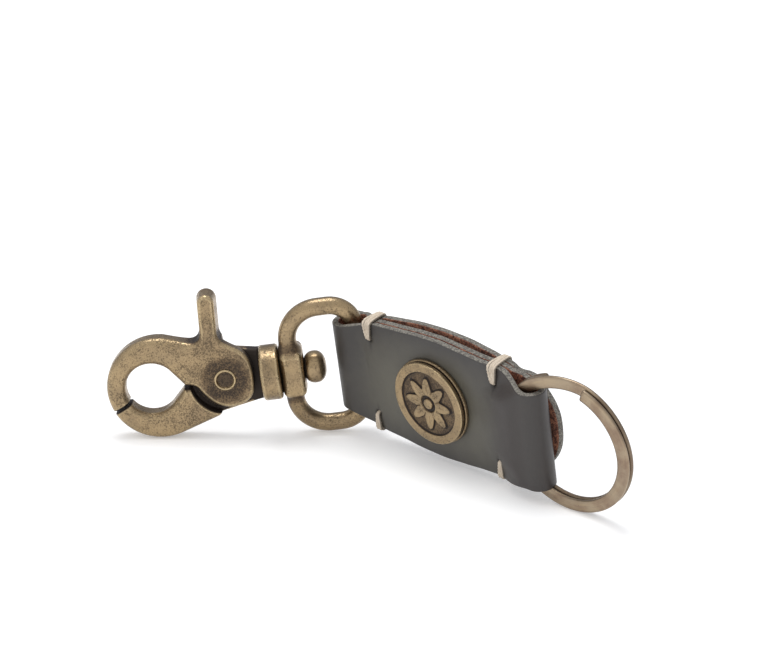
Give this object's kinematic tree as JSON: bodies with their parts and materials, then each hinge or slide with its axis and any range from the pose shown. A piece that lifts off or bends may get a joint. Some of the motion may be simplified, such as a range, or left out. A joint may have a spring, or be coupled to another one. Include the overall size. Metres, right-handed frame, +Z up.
{
  "type": "leather keychain",
  "caption": "Folded leather key strap with a swivelling trigger snap hook, an oval eye, corner whip stitches, a riveted round medallion and a split ring",
  "frame": {"origin": "centre of the bounding box's bottom face, on the floor the keychain stands on", "axes": "+Z up; +X from the snap hook towards the split ring; the medallion side faces -Y and -X"},
  "size_m": [0.1126, 0.0632, 0.0353],
  "materials": {
    "cast_brass": "antique cast brass, dark in the pits",
    "ring_brass": "brushed antique brass",
    "leather": "smooth dark grey, painted edges, red-brown flesh side",
    "waxed_thread": "waxed linen thread",
    "spring_steel": "bright"
  },
  "bodies": {
    "strap": {"leather_strap": "leather", "stitch_top_left": "waxed_thread", "stitch_top_right": "waxed_thread", "stitch_bottom_left": "waxed_thread", "stitch_bottom_right": "waxed_thread", "medallion": "cast_brass", "medallion_rivet": "cast_brass", "medallion_washer": "spring_steel"},
    "eye": {"swivel_eye": "cast_brass"},
    "hook": {"hook_body": "cast_brass", "swivel_pin": "cast_brass", "pivot_rivet": "ring_brass", "jaw_spring": "spring_steel"},
    "trigger": {"trigger_jaw": "cast_brass"},
    "ring": {"split_ring": "ring_brass"}
  },
  "joints": [
    {"name": "eye_swing", "type": "hinge", "parent": "strap", "child": "eye", "pos_m": [0.00104, 0.02498, 0.01824], "axis": [-0.125, -0.183, 0.9751], "range_deg": [-110, 75]},
    {"name": "hook_swivel", "type": "hinge", "parent": "eye", "child": "hook", "pos_m": [-0.01903, 0.02461, 0.01559], "axis": [0.9913, 0.0184, 0.1305], "continuous": true},
    {"name": "trigger_open", "type": "hinge", "parent": "hook", "child": "trigger", "pos_m": [-0.02938, 0.02441, 0.01453], "axis": [-0.0217, 0.9995, 0.0244], "range_deg": [0, 32], "stiffness_Nm_per_rad": 0.02, "springref_deg": -28.65},
    {"name": "ring_turn", "type": "hinge", "parent": "strap", "child": "ring", "pos_m": [0.04388, -0.01994, 0.0156], "axis": [0.6585, 0.7198, 0.2195], "continuous": true}
  ]
}
